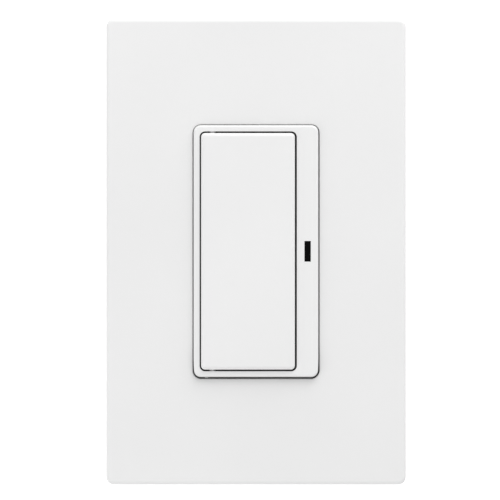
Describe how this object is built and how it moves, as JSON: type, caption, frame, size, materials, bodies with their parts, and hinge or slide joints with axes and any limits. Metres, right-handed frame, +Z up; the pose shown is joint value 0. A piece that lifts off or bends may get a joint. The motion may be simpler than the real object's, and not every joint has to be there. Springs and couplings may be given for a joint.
{
  "type": "smart accessory switch",
  "caption": "Wall switch with one tall off-centre paddle and a small indicator slot in a rectangular frame, screwless cover plate, metal strap and rear wiring housing.",
  "frame": {"origin": "the wall plane, at the middle of the wall plate's rear rim", "axes": "+Z up, +X right as seen from the front, the face looks along -Y and +Y goes into the wall"},
  "size_m": [0.0798, 0.0421, 0.124],
  "materials": {
    "plate_plastic": "satin moulded",
    "sub_plate_plastic": "matt moulded",
    "frame_plastic": "satin moulded",
    "paddle_plastic": "satin moulded",
    "spring_steel": "drawn wire",
    "smoked_lens": "smoked, glossy",
    "strap_steel": "zinc plated",
    "zinc_steel": "zinc plated",
    "fibre_washer": "pressed fibre",
    "green_screw": "green passivated",
    "housing_plastic": "matt moulded",
    "terminal_brass": "bare brass",
    "terminal_silver": "nickel plated",
    "board_laminate": "solder mask",
    "black_plastic": "matt moulded",
    "led_resin": "clear resin",
    "chip_resin": "moulded resin",
    "capacitor_sleeve": "shrink sleeve",
    "film_box": "moulded box",
    "varistor_coat": "dipped epoxy",
    "ferrite": "sintered ferrite",
    "resistor_coat": "lacquered",
    "insulating_paper": "pressed fibre sheet"
  },
  "bodies": {
    "device": {"wall_plate": "plate_plastic", "sub_plate": "sub_plate_plastic", "sub_plate_screws": "zinc_steel", "front_frame": "frame_plastic", "upper_return_spring": "spring_steel", "lower_return_spring": "spring_steel", "indicator_lens": "smoked_lens", "mounting_strap": "strap_steel", "box_screws": "zinc_steel", "screw_retainers": "fibre_washer", "ground_screw": "green_screw", "rear_housing": "housing_plastic", "housing_screws": "zinc_steel", "line_screw": "terminal_brass", "traveler_screw": "terminal_brass", "neutral_screw": "terminal_silver", "terminal_clamps": "zinc_steel", "terminal_plates": "terminal_brass", "control_board": "board_laminate", "control_board_screws": "zinc_steel", "tact_switch_case": "black_plastic", "indicator_led": "led_resin", "microcontroller": "chip_resin", "board_header": "black_plastic", "power_board": "board_laminate", "supply_capacitor": "capacitor_sleeve", "filter_capacitor": "film_box", "surge_varistor": "varistor_coat", "filter_inductor": "ferrite", "fuse_resistor": "resistor_coat", "insulator_sheet": "insulating_paper"},
    "paddle": {"paddle": "paddle_plastic"},
    "stem": {"tact_switch_stem": "black_plastic"}
  },
  "joints": [
    {"name": "paddle_press", "type": "hinge", "parent": "device", "child": "paddle", "pos_m": [-0.01157, -0.0071, 0], "axis": [0, 0, 1], "range_deg": [0, 3.2], "stiffness_Nm_per_rad": 0.9, "springref_deg": -6.88, "deforming": ["upper_return_spring", "lower_return_spring"]},
    {"name": "stem_press", "type": "slide", "parent": "device", "child": "stem", "axis": [0, 1, 0], "range_m": [0, 0.00079]}
  ],
  "couplings": [
    {"joint": "stem_press", "follows": "paddle_press", "m_per_rad": 0.0139}
  ]
}
